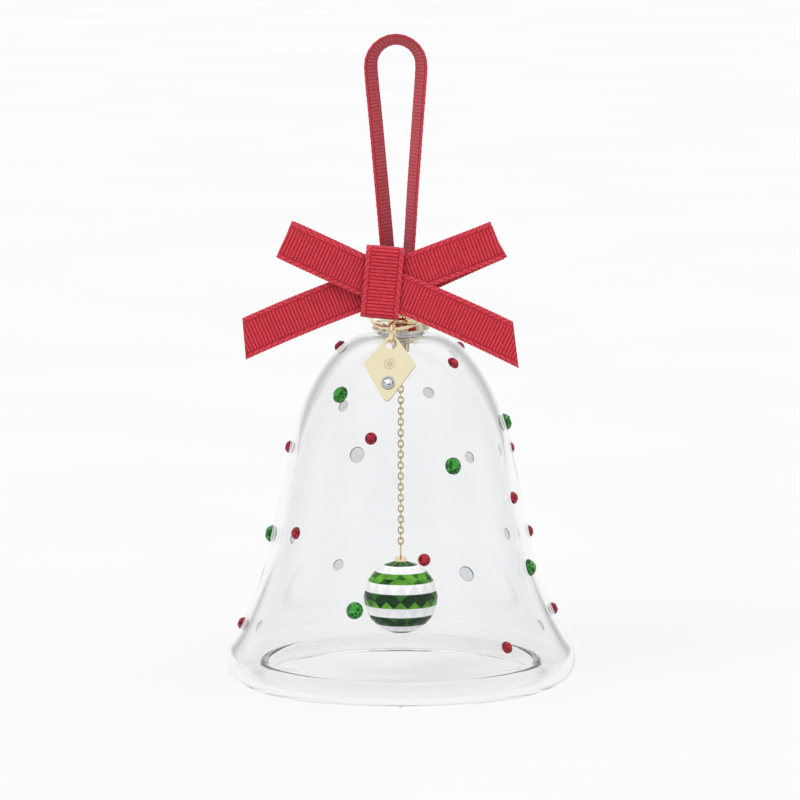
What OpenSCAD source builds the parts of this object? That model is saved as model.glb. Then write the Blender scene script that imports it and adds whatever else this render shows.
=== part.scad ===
// Standing bell ornament: a clear glass bell with flat-backed crystals on its outside, a gold cap and bail,
// a grosgrain hanging ribbon with a bow, a small metal tag, and a faceted ball on a fine chain as its
// clapper.
// The bell's axis is Z, its rim stands on z = 0, and its front faces -Y. All sizes are in millimetres.

/* [Bell] */
// Outer radius of the rolled rim
rim_r = 45; // [44:0.5:46]
// Height of the glass top, under the cap
glass_top = 90.6; // [90.4:0.1:90.8]
// Thickness of the glass wall
wall = 2.2; // [1.8:0.1:2.4]
// Radius of the roll at the rim
roll_r = 6; // [5.5:0.1:6.2]
// Radius of the hole for the cap's post
post_hole_r = 1.6; // [1.5:0.1:2]

/* [Cap] */
// Radius of the cap's drum at its foot
drum_r = 7.4; // [7:0.1:7.6]
// Height of the cap's drum
drum_h = 2.05; // [1.8:0.05:2.2]
// Radius of the small dome on the drum
collar_r = 3.2; // [3:0.1:3.4]
// Radius of the bail's wire centre line
bail_r = 3; // [2.9:0.1:3.1]
// Radius of the bail's wire
bail_wire = 0.65; // [0.5:0.05:0.7]
// Radius of the ferrule inside the glass
ferrule_r = 2.2; // [2:0.1:2.4]

/* [Clapper] */
// Radius of the chain's wire
chain_wire = 0.2; // [0.15:0.01:0.2]
// Distance from one link's centre to the next
link_pitch = 1.4; // [1.4:0.01:1.42]
// Number of links in the chain, which is even
link_count = 34; // [32:2:34]
// Radius of the faceted ball
ball_r = 9.55; // [9:0.05:9.6]
// Height of the ball's centre
ball_z = 21.4; // [21.2:0.1:21.6]

/* [Ribbon] */
// Width of the ribbon
ribbon_w = 10; // [9:0.5:10]
// Thickness of the ribbon
ribbon_t = 0.5; // [0.3:0.05:0.6]
// Width of the bow's knot
knot_w = 9.8; // [9:0.1:10]

/* [Tag] */
// Half the tag's width
tag_half = 6.7; // [6:0.1:7]
// Distance from the tag's hole down to its tip
tag_drop = 16.2; // [15:0.1:17]
// Thickness of the tag
tag_t = 0.8; // [0.6:0.05:0.8]
// Radius of the tag's hole
tag_hole_r = 1.45; // [1.4:0.05:1.5]

/* [Crystals] */
// Diameter of a green crystal
green_d = 4.4; // [4:0.1:4.6]
// Diameter of a red crystal
red_d = 3.2; // [3:0.1:3.4]

/* [Hidden] */

glass_tint = [0.9, 0.92, 0.94, 0.35];
gold = [0.86, 0.74, 0.48];
red = [0.78, 0.12, 0.18];
green = [0.05, 0.45, 0.12];
clear_rubber = [0.85, 0.85, 0.85];

// ---- Curves -------------------------------------------------------------------------------------------

// Steps along each stretch of the glass outline
curve_steps = 12;

function bezier(p, t) = pow(1 - t, 3) * p[0] + 3 * t * pow(1 - t, 2) * p[1]
    + 3 * t * t * (1 - t) * p[2] + pow(t, 3) * p[3];
function bezier_slope(p, t) = pow(1 - t, 2) * (p[1] - p[0]) + 2 * t * (1 - t) * (p[2] - p[1])
    + t * t * (p[3] - p[2]);
function unit(v) = v / norm(v);
// The side of a direction that faces the bell's axis, for an outline drawn downwards
function inward(v) = [v[1], -v[0]];
function arc(centre, r, from, to, steps) =
    [for (i = [0:steps]) let (a = from + (to - from) * i / steps) centre + r * [cos(a), sin(a)]];

// ---- Glass outline: dome, body and flare, each as [radius, height] -------------------------------------

rim_flat = 0.06;
rim_centre = [rim_r - roll_r, roll_r - rim_flat];
roll_start = 35;
roll_end = -175;
inner_roll_r = 5;
inner_rim_centre = [rim_centre[0], inner_roll_r - rim_flat];
flare_foot = rim_centre + roll_r * [cos(roll_start), sin(roll_start)];
roll_tangent = [sin(roll_start), -cos(roll_start)];

dome_curve = [[6, glass_top], [17, glass_top + 0.1], [25, 75], [28, 62.4]];
body_curve = [[28, 62.4], [29.9, 54.4], [32, 44], [33.7, 35.4]];
flare_curve = [[33.7, 35.4], [35.5, 26.6], flare_foot - 6 * roll_tangent, flare_foot];

function outer_line(p, first) = [for (i = [first:curve_steps]) bezier(p, i / curve_steps)];
function inner_line(p, first) = [for (i = [first:curve_steps])
    let (t = i / curve_steps) bezier(p, t) + wall * inward(unit(bezier_slope(p, t)))];
function reversed(list) = [for (i = [len(list) - 1:-1:0]) list[i]];

glass_outline = concat(
    [[post_hole_r, glass_top]],
    outer_line(dome_curve, 0), outer_line(body_curve, 1), outer_line(flare_curve, 1),
    arc(rim_centre, roll_r, roll_start - 5, -90, 24),
    arc(inner_rim_centre, inner_roll_r, -94, roll_end, 16),
    arc(inner_rim_centre + (inner_roll_r - wall / 2) * [cos(roll_end), sin(roll_end)],
        wall / 2, roll_end - 15, roll_end - 165, 8),
    reversed(arc(inner_rim_centre, inner_roll_r - wall, -94, roll_end, 16)),
    reversed(arc(rim_centre, roll_r - wall, roll_start - 5, -90, 20)),
    reversed(concat(inner_line(dome_curve, 0), inner_line(body_curve, 1), inner_line(flare_curve, 1))),
    [[post_hole_r, glass_top - wall]]);

module glass_bell() {
    color(glass_tint)
        difference() {
            rotate_extrude($fn = 96) polygon(glass_outline);
            translate([-60, -60, -10]) cube([120, 120, 10]);
        }
}

// ---- Crystals on the glass ----------------------------------------------------------------------------

// The outer surface: its radius and its steepness at a height, found on the three curves
function on_curve(p, z, lo = 0, hi = 1, n = 24) = let (mid = (lo + hi) / 2)
    n == 0 ? mid : bezier(p, mid)[1] > z ? on_curve(p, z, mid, hi, n - 1) : on_curve(p, z, lo, mid, n - 1);
function curve_at(z) = z > 62.4 ? dome_curve : z > 35.4 ? body_curve : flare_curve;
function surface_r(z) = let (p = curve_at(z)) bezier(p, on_curve(p, z))[0];
function surface_tilt(z) = let (p = curve_at(z), s = bezier_slope(p, on_curve(p, z))) atan2(s[0], -s[1]);

// Crystals by tier, each as [angle from the front towards +X, height]
green_upper = [[-41, 76], [89, 67]];
green_middle = [[27, 59], [-156, 55]];
green_lower = [[-90, 38], [70, 31], [-18, 23.8], [151, 22.5]];
red_upper = [[-90, 86.5], [46, 83.5], [-16, 66], [115, 85.5], [162, 72], [-142, 69]];
red_middle = [[-90, 60.5], [67, 49], [-54, 41], [10, 36.3], [140, 55], [102, 59.5], [118, 36], [97, 38]];
red_lower = [[-87, 15], [90, 18.5], [40, 13.8], [-152, 25], [-117, 35], [-111, 12.5], [112, 12.5]];

glue_gap = 0.08;
module flat_back_crystal(d) {
    rise = 0.4 * d;
    cylinder(h = 0.22 * rise, r = d / 2, $fn = 48);
    translate([0, 0, 0.22 * rise]) cylinder(h = 0.6 * rise, r1 = d / 2, r2 = 0.3 * d, $fn = 48);
    translate([0, 0, 0.82 * rise]) cylinder(h = 0.18 * rise, r1 = 0.3 * d, r2 = 0.12 * d, $fn = 48);
}
module crystals(places, d, tint) {
    color(tint)
        for (p = places)
            rotate([0, 0, p[0] - 90])
                translate([surface_r(p[1]), 0, p[1]])
                    rotate([0, 90 - surface_tilt(p[1]), 0])
                        translate([0, 0, glue_gap]) flat_back_crystal(d);
}
module green_crystals_upper() { crystals(green_upper, green_d, green); }
module green_crystals_middle() { crystals(green_middle, green_d, green); }
module green_crystals_lower() { crystals(green_lower, green_d, green); }
module red_crystals_upper() { crystals(red_upper, red_d, red); }
module red_crystals_middle() { crystals(red_middle, red_d, red); }
module red_crystals_lower() { crystals(red_lower, red_d, red); }

// ---- Cap and its fastening through the glass ------------------------------------------------------------

gasket_t = 0.25;
drum_z = glass_top + gasket_t;
drum_top = drum_z + drum_h;
collar_h = 2.3;
bail_z = 98.3;
post_r = 1.25;
ferrule_h = 3.2;
ferrule_top = glass_top - wall - gasket_t;
ferrule_z = ferrule_top - ferrule_h;

module torus(r, wire) { rotate_extrude($fn = 64) translate([r, 0]) circle(r = wire, $fn = 32); }
module upright_ring(r, wire) { rotate([0, 90, 0]) torus(r, wire); }

module upper_gasket() {
    color(clear_rubber)
        translate([0, 0, glass_top])
            difference() {
                cylinder(h = gasket_t, r = 5.9, $fn = 64);
                translate([0, 0, -1]) cylinder(h = 3, r = post_hole_r, $fn = 48);
            }
}
// The drum: a shallow cone with a raised lip round its top face
module cap_drum() {
    lip = 0.45;
    color(gold)
        rotate_extrude($fn = 96)
            polygon([[post_r, drum_z], [drum_r - 0.3, drum_z], [drum_r, drum_z + 0.25],
                     [drum_r - 0.35, drum_top - 0.35], [drum_r - 0.6, drum_top],
                     [drum_r - 0.6 - lip, drum_top], [drum_r - 1.3, drum_top - 0.3],
                     [post_r, drum_top - 0.3]]);
}
// The collar: a small dome over the post, with a seat for the bail's foot
module cap_collar() {
    foot = drum_top - 0.3;
    color(gold)
        difference() {
            rotate_extrude($fn = 64)
                polygon(concat(
                    [[0, foot + collar_h], [0, foot + 0.6], [post_r, foot + 0.6], [post_r, foot]],
                    [[collar_r, foot]],
                    arc([collar_r - 1.8, foot + 0.5], 1.8, 0, 90, 8)));
            translate([0, 0, bail_z]) upright_ring(bail_r, bail_wire + 0.01);
        }
}
module hanging_bail() { color(gold) translate([0, 0, bail_z]) upright_ring(bail_r, bail_wire); }
module threaded_post() {
    color([0.75, 0.75, 0.75])
        translate([0, 0, ferrule_z + 1.4])
            cylinder(h = drum_top + 0.3 - ferrule_z - 1.4, r = post_r - 0.01, $fn = 48);
}
module lower_gasket() {
    color(clear_rubber)
        translate([0, 0, ferrule_top])
            difference() {
                cylinder(h = gasket_t, r = 3.4, $fn = 64);
                translate([0, 0, -1]) cylinder(h = 3, r = post_hole_r, $fn = 48);
            }
}
module clamp_ferrule() {
    color(gold)
        rotate_extrude($fn = 64)
            polygon([[post_r, ferrule_top], [ferrule_r + 0.5, ferrule_top],
                     [ferrule_r + 0.5, ferrule_top - 0.5],
                     [ferrule_r, ferrule_top - 0.7], [ferrule_r, ferrule_z + 0.3],
                     [ferrule_r - 0.3, ferrule_z],
                     [0.6, ferrule_z], [0.6, ferrule_z + 1.4], [post_r, ferrule_z + 1.4]]);
}

// ---- Chain --------------------------------------------------------------------------------------------

eye_r = 1;
eye_wire = 0.3;
link_gap = 0.04;
// Centre of the wire that the top link hangs on
chain_z = 82.6;
eye_z = chain_z + eye_r;
link_r = 0.6;
link_half = 0.32;
// From a link's centre to the middle of its end wire
link_reach = link_r + link_half;
top_link_z = chain_z + eye_wire + link_gap + chain_wire - link_reach;
mid_link = 16;
function link_z(i) = top_link_z - i * link_pitch;

// A link lies in the XZ plane: an oval of wire, swept as one closed mesh
arc_steps = 6;
wire_sides = 6;
function oval(r, half) = concat(
    [for (i = [0:arc_steps]) let (a = 180 * i / arc_steps) [r * cos(a), half + r * sin(a), a]],
    [for (i = [0:arc_steps]) let (a = 180 + 180 * i / arc_steps) [r * cos(a), r * sin(a) - half, a]]);
module oval_link(r, half, wire) {
    line = oval(r, half);
    n = len(line);
    polyhedron(
        points = [for (p = line, j = [0:wire_sides - 1]) let (b = 360 * j / wire_sides)
                     [p[0] + wire * cos(b) * cos(p[2]), wire * sin(b), p[1] + wire * cos(b) * sin(p[2])]],
        faces = [for (i = [0:n - 1], j = [0:wire_sides - 1])
                    let (k = (i + 1) % n, m = (j + 1) % wire_sides)
                    [i * wire_sides + j, k * wire_sides + j, k * wire_sides + m, i * wire_sides + m]]);
}
// Even links are turned edge-on to the front, odd ones face it
module links(first, last) {
    color(gold)
        for (i = [first:last])
            translate([0, 0, link_z(i)])
                rotate([0, 0, i % 2 == 0 ? 90 : 0]) oval_link(link_r, link_half, chain_wire);
}
module clapper_eye() {
    color(gold) {
        translate([0, 0, eye_z]) rotate([90, 0, 0]) torus(eye_r, eye_wire);
        translate([0, 0, eye_z + eye_r]) cylinder(h = ferrule_z + 1.3 - eye_z - eye_r, r = 0.55, $fn = 32);
    }
}
module chain_top_link() { links(0, 0); }
module chain_upper_links() { links(1, mid_link - 1); }
module chain_mid_link() { links(mid_link, mid_link); }
module chain_lower_links() { links(mid_link + 1, link_count - 1); }

// ---- Ball ---------------------------------------------------------------------------------------------

ball_cap_r = 1.55;
ball_top = ball_z + ball_r;
ball_cap_top = ball_top + 1.1;
loop_top = link_z(link_count - 1) - link_reach + 2 * chain_wire + link_gap;
loop_half = (loop_top - ball_cap_top - 2 * link_r) / 2;
pin_r = 0.6;

module ball_loop() {
    color(gold)
        translate([0, 0, loop_top - link_r - loop_half])
            rotate([0, 0, 90]) oval_link(link_r, loop_half, chain_wire);
}
module ball_cap() {
    color(gold)
        difference() {
            rotate_extrude($fn = 64)
                polygon([[0, ball_top - 0.9], [ball_cap_r, ball_top - 0.9], [ball_cap_r, ball_top + 0.5],
                         [ball_cap_r - 0.35, ball_cap_top - 0.25], [0.9, ball_cap_top - 0.1],
                         [0.9, ball_cap_top - 0.05], [0, ball_cap_top - 0.05]]);
            translate([0, 0, loop_top - link_r - loop_half])
                cube([3 * chain_wire, 2 * link_r + 3 * chain_wire,
                      2 * (link_r + loop_half) + 3 * chain_wire], center = true);
            translate([0, 0, ball_top - 2]) cylinder(h = 1.4, r = pin_r, $fn = 32);
        }
}
module ball_pin() {
    color(gold) translate([0, 0, ball_top - 6]) cylinder(h = 5.4, r = pin_r - 0.02, $fn = 32);
}
module crystal_ball() {
    color(green)
        difference() {
            translate([0, 0, ball_z]) sphere(r = ball_r, $fn = 96);
            translate([0, 0, ball_top - 6.2]) cylinder(h = 8, r = pin_r, $fn = 32);
            translate([0, 0, ball_top - 0.92]) cylinder(h = 3, r = ball_cap_r + 0.02, $fn = 64);
        }
}

// ---- Hanging ribbon -----------------------------------------------------------------------------------

// The middle of the ribbon, from the tie up the left strand, over the top and down the right strand
ribbon_route = [[-2.7, -3.6, 104], [-3.2, -3.5, 109], [-3.8, -3.3, 116], [-4.7, -3, 126], [-5.6, -2.7, 136],
    [-6.5, -2.5, 146], [-7.3, -2.3, 154], [-7.6, -2.2, 158.5], [-7.1, -2.2, 161], [-5.7, -2.2, 163.1],
    [-3.6, -2.2, 164.5], [-1.2, -2.2, 165], [1.2, -2.2, 164.5], [3.3, -2.2, 163.1], [4.7, -2.2, 161],
    [5.2, -2.2, 158.5], [5, -2.3, 154], [4.4, -2.5, 146], [3.7, -2.7, 136], [3, -3, 126],
    [2.4, -3.3, 116], [1.9, -3.5, 109], [1.6, -3.6, 104]];
// The gathered loop that goes through the bail, as [x, y, z, width]
bail_loop_route = [[-2.65, -3.6, 103.9, 8], [-2.4, -2.9, 102.4, 6.4], [-2.1, -1.7, 101, 4.4],
    [-1.8, -0.5, 99.9, 3],
    [-1.2, 0.1, 99.2, 2.6], [-0.5, 0.2, 99, 2.6], [0.5, 0.2, 99, 2.6], [1.2, 0.1, 99.2, 2.6],
    [1.6, -0.5, 99.9, 3], [1.75, -1.7, 101, 4.4], [1.7, -2.9, 102.4, 6.4], [1.6, -3.6, 103.9, 8]];
// How far the front edge spreads out from the back edge
ribbon_spread = 12;

function along(route, i) = let (a = route[max(i - 1, 0)], b = route[min(i + 1, len(route) - 1)])
    unit([b[0] - a[0], 0, b[2] - a[2]]);
// The eight corners of the ribbon's section, as [across, through]
function ribbon_section(w, t) = [
    [w / 2, t / 4], [w / 2 - 0.15, t / 2], [0.15 - w / 2, t / 2], [-w / 2, t / 4],
    [-w / 2, -t / 4], [0.15 - w / 2, -t / 2], [w / 2 - 0.15, -t / 2], [w / 2, -t / 4]];
module swept_ribbon(route, widths, spread) {
    n = len(route);
    polyhedron(
        points = [for (i = [0:n - 1], s = ribbon_section(widths[i], ribbon_t))
            let (d = along(route, i), out = [-d[2], 0, d[0]],
                 across = out * sin(spread) + [0, -cos(spread), 0],
                 through = out * cos(spread) + [0, sin(spread), 0])
            [route[i][0], route[i][1], route[i][2]] + s[0] * across + s[1] * through],
        faces = concat(
            [[for (j = [7:-1:0]) j]],
            [[for (j = [0:7]) (n - 1) * 8 + j]],
            [for (i = [0:n - 2], j = [0:7]) let (m = (j + 1) % 8)
                [i * 8 + j, i * 8 + m, (i + 1) * 8 + m, (i + 1) * 8 + j]]));
}
module hanging_ribbon() {
    color(red) swept_ribbon(ribbon_route, [for (p = ribbon_route) ribbon_w], ribbon_spread);
}
module bail_ribbon_loop() { color(red) swept_ribbon(bail_loop_route, [for (p = bail_loop_route) p[3]], 0); }

// The tie: a narrow band round both strands, sewn to the back of the knot
tie_z = 104.5;
tie_h = 5;
tie_back = 2.2;
module ribbon_tie() {
    left = -5.2;
    right = 4.2;
    color(red)
        translate([0, 0, tie_z])
            linear_extrude(tie_h)
                difference() {
                    translate([left, knot_back]) square([right - left, tie_back - knot_back]);
                    translate([left + ribbon_t, knot_back + ribbon_t])
                        square([right - left - 2 * ribbon_t, tie_back - knot_back - 2 * ribbon_t]);
                }
}

// ---- Bow ----------------------------------------------------------------------------------------------

knot_front = -14.6;
knot_back = -9.8;
knot_top = 113.35;
knot_foot = 94.9;
knot_x = -4.65;
knot_lean = 5.2;
band_t = 0.6;

// A rounded rectangle from one corner to the other
function rounded_box(a, b, r) = concat(
    arc([b[0] - r, b[1] - r], r, 0, 90, 6), arc([a[0] + r, b[1] - r], r, 90, 180, 6),
    arc([a[0] + r, a[1] + r], r, 180, 270, 6), arc([b[0] - r, a[1] + r], r, 270, 360, 6));
// The knot: a band wrapped round the middle of the bow
module bow_knot() {
    height = knot_top - knot_foot;
    depth = knot_back - knot_front;
    color(red)
        translate([knot_x, (knot_front + knot_back) / 2, (knot_top + knot_foot) / 2])
            rotate([0, knot_lean, 0]) rotate([90, 0, 90])
                translate([0, 0, -knot_w / 2])
                    linear_extrude(knot_w)
                        difference() {
                            polygon(rounded_box([-depth / 2, -height / 2], [depth / 2, height / 2], 1.5));
                            polygon(rounded_box([-depth / 2 + band_t, -height / 2 + band_t],
                                                [depth / 2 - band_t, height / 2 - band_t], 0.9));
                        }
}

// Half the depth of a loop at its root and at its fullest
loop_pinch = 0.8;
loop_bulge = 1.4;
// Half the depth of a loop at a share s of its length
function loop_depth(s, pinch, bulge) =
    (pinch + (bulge - pinch) * sin(90 * min(1, s / 0.55))) * sqrt(1 - pow(s, 5));
function loop_outline(length, pinch, bulge) = let (steps = 16) concat(
    [for (i = [0:steps]) [length * i / steps, -loop_depth(i / steps, pinch, bulge)]],
    [for (i = [steps - 1:-1:0]) [length * i / steps, loop_depth(i / steps, pinch, bulge)]]);
// A loop runs from its root in the knot, at an angle above +X
module bow_loop(root, angle, length) {
    color(red)
        translate(root) rotate([0, -angle, 0])
            translate([0, 0, -ribbon_w / 2])
                linear_extrude(ribbon_w)
                    difference() {
                        polygon(loop_outline(length, loop_pinch, loop_bulge));
                        translate([0.6, 0])
                            polygon(loop_outline(length - 0.6 - ribbon_t, loop_pinch - 0.55,
                                                 loop_bulge - ribbon_t));
                    }
}
// A tail is a flat strip with a slanted cut, drawn as its front outline
module bow_tail(outline, y) {
    color(red)
        translate([0, y + ribbon_t / 2, 0])
            rotate([90, 0, 0])
                linear_extrude(ribbon_t) polygon(outline);
}
module bow_loop_left() { bow_loop([-7.4, -12.4, 104.9], 155.2, 24.1); }
module bow_loop_right() { bow_loop([-2.9, -11.8, 105.2], 22, 29.1); }
module bow_tail_left() { bow_tail([[-6, 108.6], [-40.1, 94.8], [-39.2, 84.6], [-6, 98.2]], -10.65); }
module bow_tail_right() { bow_tail([[-4.4, 108.5], [28.4, 94.2], [30, 82.4], [-4.4, 98]], -13.5); }

// ---- Tag and its two jump rings -------------------------------------------------------------------------

// The tag hangs in an upright plane, turned this far round the bell's axis from the front
tag_turn = -8.3;
bail_ring_wire = 0.45;
// Where the large ring passes through the bail and through the small ring, as [y, z] in the tag's plane
bail_contact = [-1.35, 97.35];
ring_contact = [-13.4, 92.4];
bail_ring_r = norm(bail_contact - ring_contact) / 2;
tag_ring_r = 2.5;
tag_ring_wire = 0.5;
tag_ring_at = [-14.5, 91.4];
tag_lean = 31.6;
hole_reach = tag_ring_r + tag_hole_r - tag_ring_wire - 0.2;
hole_at = tag_ring_at - hole_reach * [sin(tag_lean), cos(tag_lean)];
tag_top = 3.3;
tag_side = 5.5;
stone_drop = 10.8;
stone_r = 1.5;

module bail_jump_ring() {
    middle = (bail_contact + ring_contact) / 2;
    slope = atan2(bail_contact[1] - ring_contact[1], bail_contact[0] - ring_contact[0]);
    color(gold)
        rotate([0, 0, tag_turn]) translate([0, middle[0], middle[1]])
            rotate([slope, 0, 0]) torus(bail_ring_r, bail_ring_wire);
}
module tag_jump_ring() {
    color(gold)
        rotate([0, 0, tag_turn]) translate([0, tag_ring_at[0], tag_ring_at[1]])
            upright_ring(tag_ring_r, tag_ring_wire);
}
// Places a piece that is drawn flat: x across the tag, y up it from the hole, z out of its front
module on_tag() {
    rotate([0, 0, tag_turn])
        translate([0, hole_at[0], hole_at[1]])
            rotate([90 - tag_lean, 0, 0]) children();
}
// A polygon's corner, rounded by an arc between its two sides
function round_corner(a, b, c, r) = let (
    u = unit(a - b), v = unit(c - b), half = acos(u * v) / 2,
    centre = b + unit(u + v) * r / sin(half), first = b + u * r / tan(half) - centre,
    start = atan2(first[1], first[0]), turn = 180 - 2 * half)
    [for (i = [0:5]) let (s = start + turn * i / 5) centre + r * [cos(s), sin(s)]];
tag_corners = [[0, tag_top], [-tag_half, -tag_side], [0, -tag_drop - 0.4], [tag_half, -tag_side]];
tag_radii = [0.8, 0.5, 1.1, 0.5];
module tag_plate() {
    color(gold)
        on_tag()
            difference() {
                translate([0, 0, -tag_t / 2])
                    linear_extrude(tag_t)
                        polygon([for (i = [0:3])
                            each round_corner(tag_corners[(i + 3) % 4], tag_corners[i],
                                              tag_corners[(i + 1) % 4], tag_radii[i])]);
                translate([0, 0, -2]) cylinder(h = 4, r = tag_hole_r, $fn = 48);
                translate([0, -stone_drop, -2]) cylinder(h = 4, r = stone_r, $fn = 48);
            }
}
module tag_bezel() {
    color(gold)
        on_tag()
            translate([0, -stone_drop, 0])
                rotate_extrude($fn = 64)
                    polygon([[stone_r - 0.2, -tag_t / 2], [stone_r - 0.01, -tag_t / 2],
                             [stone_r - 0.01, tag_t / 2 + 0.01],
                             [stone_r + 0.3, tag_t / 2 + 0.01], [stone_r + 0.25, tag_t / 2 + 0.35],
                             [stone_r - 0.2, tag_t / 2 + 0.35]]);
}
module tag_crystal() {
    girdle = stone_r - 0.22;
    color([0.9, 0.92, 0.95])
        on_tag()
            translate([0, -stone_drop, 0]) {
                translate([0, 0, -tag_t / 2]) cylinder(h = tag_t + 0.1, r1 = 0.5, r2 = girdle, $fn = 48);
                translate([0, 0, tag_t / 2 + 0.1]) cylinder(h = 0.5, r1 = girdle, r2 = 0.7, $fn = 48);
            }
}

glass_bell();
upper_gasket();
cap_drum();
cap_collar();
hanging_bail();
threaded_post();
lower_gasket();
clamp_ferrule();
clapper_eye();
green_crystals_upper();
green_crystals_middle();
green_crystals_lower();
red_crystals_upper();
red_crystals_middle();
red_crystals_lower();
hanging_ribbon();
bail_ribbon_loop();
ribbon_tie();
bow_knot();
bow_loop_left();
bow_loop_right();
bow_tail_left();
bow_tail_right();
bail_jump_ring();
tag_jump_ring();
tag_plate();
tag_bezel();
tag_crystal();
chain_top_link();
chain_upper_links();
chain_mid_link();
chain_lower_links();
ball_loop();
ball_cap();
ball_pin();
crystal_ball();
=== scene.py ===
"""A glass bell ornament: crystals on clear blown glass, a faceted ball clapper on a fine chain, a gold
cap, a metal tag and a grosgrain ribbon bow. Lengths are millimetres in the part's own frame, and the
camera's and the floor's are metres."""
import math

import bmesh
import bpy
import numpy as np
from mathutils import Matrix, Vector


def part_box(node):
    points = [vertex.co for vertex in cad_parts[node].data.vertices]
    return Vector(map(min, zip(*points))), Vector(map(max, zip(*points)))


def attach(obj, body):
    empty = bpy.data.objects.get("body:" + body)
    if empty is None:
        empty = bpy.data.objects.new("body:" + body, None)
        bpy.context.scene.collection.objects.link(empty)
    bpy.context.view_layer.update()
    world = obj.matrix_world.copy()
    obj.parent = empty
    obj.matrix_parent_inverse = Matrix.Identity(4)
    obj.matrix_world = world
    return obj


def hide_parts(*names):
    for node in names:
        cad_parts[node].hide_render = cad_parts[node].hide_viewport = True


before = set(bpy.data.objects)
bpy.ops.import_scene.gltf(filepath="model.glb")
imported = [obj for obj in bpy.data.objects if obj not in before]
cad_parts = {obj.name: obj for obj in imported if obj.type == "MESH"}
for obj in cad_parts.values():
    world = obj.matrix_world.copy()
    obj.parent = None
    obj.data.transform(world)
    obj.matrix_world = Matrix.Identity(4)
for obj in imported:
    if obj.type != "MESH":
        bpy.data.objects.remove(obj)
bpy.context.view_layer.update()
MM = 0.001


# ---- Camera --------------------------------------------------------------------------------------

VIEW_WIDTH = 205.1 * MM       # what the picture's width takes in at the bell's axis
VIEW_DISTANCE = 1.2
VIEW_ELEVATION = 7.0
VIEW_TARGET = Vector((-0.2, 0.0, 72.6)) * MM
SENSOR = 36.0


def make_camera():
    camera = bpy.data.objects.new("camera", bpy.data.cameras.new("camera"))
    bpy.context.collection.objects.link(camera)
    camera.data.sensor_width = SENSOR
    camera.data.lens = SENSOR * VIEW_DISTANCE / VIEW_WIDTH
    camera.data.clip_start = 0.05
    tilt = math.radians(VIEW_ELEVATION)
    camera.location = VIEW_TARGET + VIEW_DISTANCE * Vector((0, -math.cos(tilt), math.sin(tilt)))
    camera.rotation_euler = (math.radians(90) - tilt, 0, 0)
    bpy.context.scene.camera = camera


make_camera()


# ---- Node helpers --------------------------------------------------------------------------------

def new_material(name):
    mat = bpy.data.materials.new(name)
    mat.use_nodes = True
    return mat, mat.node_tree.nodes, mat.node_tree.links, mat.node_tree.nodes["Principled BSDF"]


def math_node(nodes, links, operation, a, b=None, c=None):
    node = nodes.new("ShaderNodeMath")
    node.operation = operation
    for socket, value in zip(node.inputs, (a, b, c)):
        if value is None:
            continue
        if hasattr(value, "links"):
            links.new(value, socket)
        else:
            socket.default_value = value
    return node.outputs[0]


def ramp_node(nodes, links, factor, stops):
    node = nodes.new("ShaderNodeValToRGB")
    elements = node.color_ramp.elements
    while len(elements) < len(stops):
        elements.new(0.5)
    for element, (place, colour) in zip(elements, stops):
        element.position = place
        element.color = (*colour, 1.0) if len(colour) == 3 else colour
    links.new(factor, node.inputs[0])
    return node.outputs[0]


def noise_node(nodes, links, scale, detail=3.0, vector=None):
    node = nodes.new("ShaderNodeTexNoise")
    node.inputs["Scale"].default_value = scale
    node.inputs["Detail"].default_value = detail
    if vector is None:
        vector = nodes.new("ShaderNodeTexCoord").outputs["Object"]
    links.new(vector, node.inputs["Vector"])
    return node.outputs[0]


def mix_colour(nodes, links, factor, a, b, blend="MIX"):
    node = nodes.new("ShaderNodeMix")
    node.data_type = "RGBA"
    node.blend_type = blend
    colours = [s for s in node.inputs if s.type == "RGBA"]
    for socket, value in ((node.inputs[0], factor), (colours[0], a), (colours[1], b)):
        if hasattr(value, "links"):
            links.new(value, socket)
        elif isinstance(value, (int, float)):
            socket.default_value = value
        else:
            socket.default_value = (*value, 1.0)
    return [s for s in node.outputs if s.type == "RGBA"][0]


def bump_node(nodes, links, height, strength, distance, bsdf):
    node = nodes.new("ShaderNodeBump")
    node.inputs["Strength"].default_value = strength
    node.inputs["Distance"].default_value = distance
    links.new(height, node.inputs["Height"])
    links.new(node.outputs[0], bsdf.inputs["Normal"])


# ---- Materials -----------------------------------------------------------------------------------

RIB = 0.88                    # from one rib of the ribbon to the next
BORDER = 1.2                  # width of the braided border along each edge


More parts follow.
